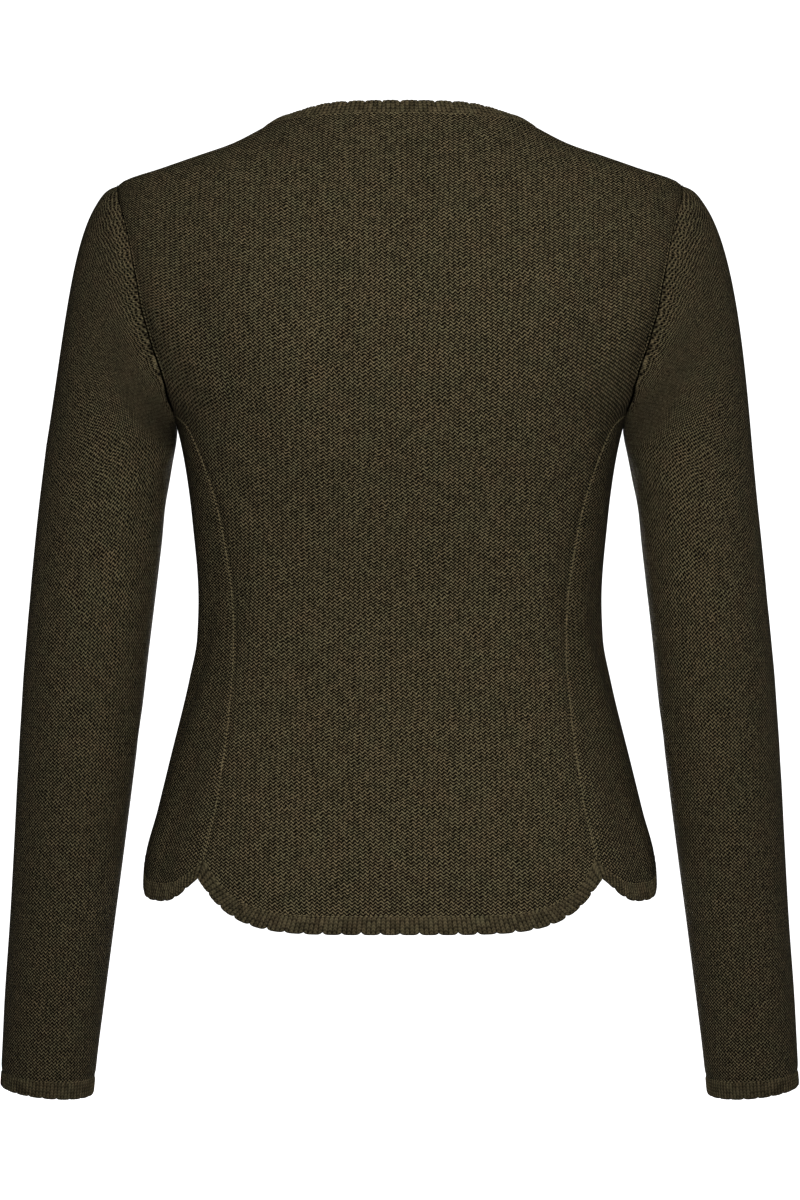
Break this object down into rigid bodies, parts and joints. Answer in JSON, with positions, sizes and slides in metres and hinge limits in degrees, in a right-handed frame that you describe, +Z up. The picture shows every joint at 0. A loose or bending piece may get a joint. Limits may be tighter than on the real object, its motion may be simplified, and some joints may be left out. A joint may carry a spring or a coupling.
{
  "type": "trachten cardigan",
  "caption": "Short fitted knitted cardigan, filled out as if worn, with long set-in sleeves, curved seams, scalloped ribbed bands at neck, hem and cuffs, and a buttoned front.",
  "frame": {"origin": "midway between the two points where the shoulder seams meet the neckband, where the wearer's shoulders hold the cardigan up", "axes": "+Z up, -Y out of the wearer's front, +X to the wearer's left"},
  "size_m": [0.5384, 0.2276, 0.6611],
  "materials": {
    "knit": "fine matt knit, olive brown",
    "rib": "fine matt rib knit, olive brown",
    "button": "aged, satin"
  },
  "bodies": {
    "root": {"back": "knit", "side_back_left": "knit", "side_back_right": "knit", "side_front_left": "knit", "side_front_right": "knit", "front_left": "knit", "front_right": "knit", "sleeve_left": "knit", "sleeve_right": "knit", "neckband": "rib", "hem_band": "rib", "cuff_left": "rib", "cuff_right": "rib", "front_band_left": "rib", "front_band_right": "rib", "button_1": "button", "button_2": "button", "button_3": "button", "button_4": "button", "button_5": "button", "button_6": "button", "button_7": "button", "button_8": "button"}
  },
  "joints": []
}
